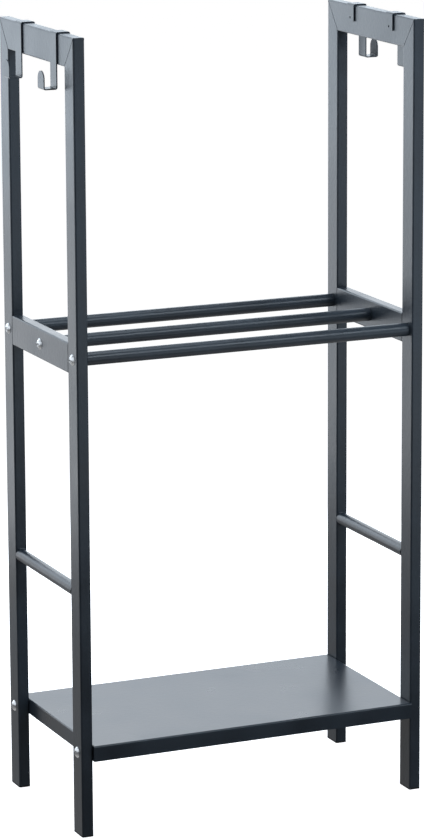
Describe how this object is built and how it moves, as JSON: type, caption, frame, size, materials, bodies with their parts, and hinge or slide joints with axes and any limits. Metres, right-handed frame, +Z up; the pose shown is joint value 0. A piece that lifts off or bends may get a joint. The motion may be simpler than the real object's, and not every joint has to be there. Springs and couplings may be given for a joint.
{
  "type": "storage rack",
  "caption": "Tall narrow free-standing steel rack: two tube side frames, round cross rods at mid height, a folded sheet shelf near the floor and hooks hung over the top rails.",
  "frame": {"origin": "centre of the overall footprint, on the floor", "axes": "+Z up, +X to the right as seen from the front, -Y towards the front, where the shelf stands out past the uprights"},
  "size_m": [0.5068, 0.255, 1.0018],
  "materials": {
    "coated_tube": "satin anthracite powder coat on steel tube",
    "coated_sheet": "satin anthracite powder coat on folded steel sheet",
    "coated_hook": "satin anthracite powder coat on bent steel strip",
    "zinc_screws": "bright zinc plating",
    "plain_zinc": "plain zinc-plated steel",
    "plug_plastic": "matt black moulded polyethylene"
  },
  "bodies": {
    "rack": {"left_front_upright": "coated_tube", "left_rear_upright": "coated_tube", "left_top_rail": "coated_tube", "left_mid_rail": "coated_tube", "left_lower_rung": "coated_tube", "right_front_upright": "coated_tube", "right_rear_upright": "coated_tube", "right_top_rail": "coated_tube", "right_mid_rail": "coated_tube", "right_lower_rung": "coated_tube", "front_rod": "coated_tube", "middle_rod": "coated_tube", "rear_rod": "coated_tube", "front_rod_inserts": "plain_zinc", "middle_rod_inserts": "plain_zinc", "rear_rod_inserts": "plain_zinc", "left_rod_screws": "zinc_screws", "right_rod_screws": "zinc_screws", "shelf_tray": "coated_sheet", "shelf_weld_nuts": "plain_zinc", "left_shelf_screws": "zinc_screws", "right_shelf_screws": "zinc_screws", "left_front_foot_plug": "plug_plastic", "left_rear_foot_plug": "plug_plastic", "right_front_foot_plug": "plug_plastic", "right_rear_foot_plug": "plug_plastic"},
    "left_front_hook": {"left_front_hook": "coated_hook"},
    "left_rear_hook": {"left_rear_hook": "coated_hook"},
    "right_front_hook": {"right_front_hook": "coated_hook"},
    "right_rear_hook": {"right_rear_hook": "coated_hook"}
  },
  "joints": [
    {"name": "left_front_hook_slide", "type": "slide", "parent": "rack", "child": "left_front_hook", "axis": [0, 1, 0], "range_m": [-0.051, 0.053]},
    {"name": "left_rear_hook_slide", "type": "slide", "parent": "rack", "child": "left_rear_hook", "axis": [0, 1, 0], "range_m": [-0.043, 0.061]},
    {"name": "right_front_hook_slide", "type": "slide", "parent": "rack", "child": "right_front_hook", "axis": [0, 1, 0], "range_m": [-0.057, 0.047]},
    {"name": "right_rear_hook_slide", "type": "slide", "parent": "rack", "child": "right_rear_hook", "axis": [0, 1, 0], "range_m": [-0.043, 0.061]}
  ]
}
